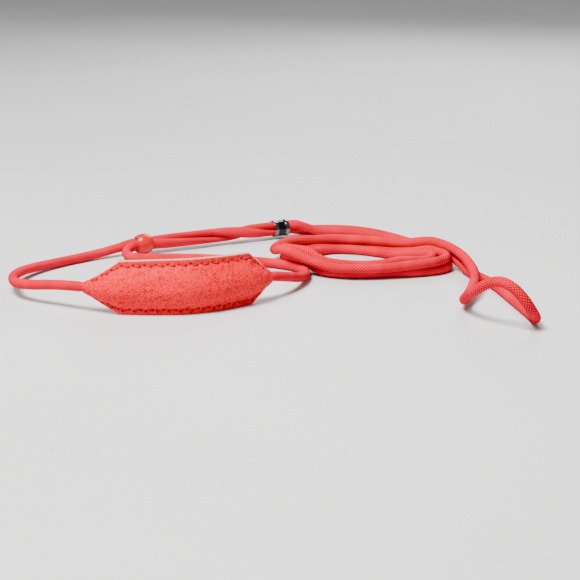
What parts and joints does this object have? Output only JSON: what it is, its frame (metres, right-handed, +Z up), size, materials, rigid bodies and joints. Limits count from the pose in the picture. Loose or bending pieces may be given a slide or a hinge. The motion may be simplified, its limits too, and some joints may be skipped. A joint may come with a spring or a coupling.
{
  "type": "braided slip lead with padded throat band",
  "caption": "Thin braided cord slip lead with a stitched leather throat pad, a sliding bead, a metal ferrule, a coiled doubled cord and a hand loop.",
  "frame": {"origin": "centre of the footprint of the pad, bead and ferrule, on the surface the lead lies on", "axes": "+Z up; +X from the neck loop towards the hand loop; +Y from the throat pad towards the ferrule"},
  "size_m": [0.2163, 0.1661, 0.0224],
  "materials": {
    "leather": "pebbled grain, satin, dyed red",
    "lining": "soft matt, dyed red",
    "foam": "soft felt padding",
    "thread": "twisted sewing thread",
    "cord": "fine braid, slight sheen",
    "bead": "glossy",
    "ferrule": "polished, with rolled rims"
  },
  "bodies": {
    "lead": {"pad_outer_leather": "leather", "pad_lining_leather": "lining", "pad_foam_core": "foam", "seam_needle_thread": "thread", "seam_bobbin_thread": "thread", "cord_neck_left": "cord", "cord_neck_right": "cord", "cord_pair_far": "cord", "cord_pair_near": "cord", "cord_lead_far": "cord", "cord_lead_near": "cord", "cord_coil_lower": "cord", "cord_coil_upper": "cord", "cord_hand_loop": "cord", "ferrule": "ferrule"},
    "slider": {"slider_bead": "bead"}
  },
  "joints": [
    {"name": "bead_slide", "type": "slide", "parent": "lead", "child": "slider", "axis": [0.8933, 0.4495, 0], "range_m": [0, 0.0622]}
  ]
}
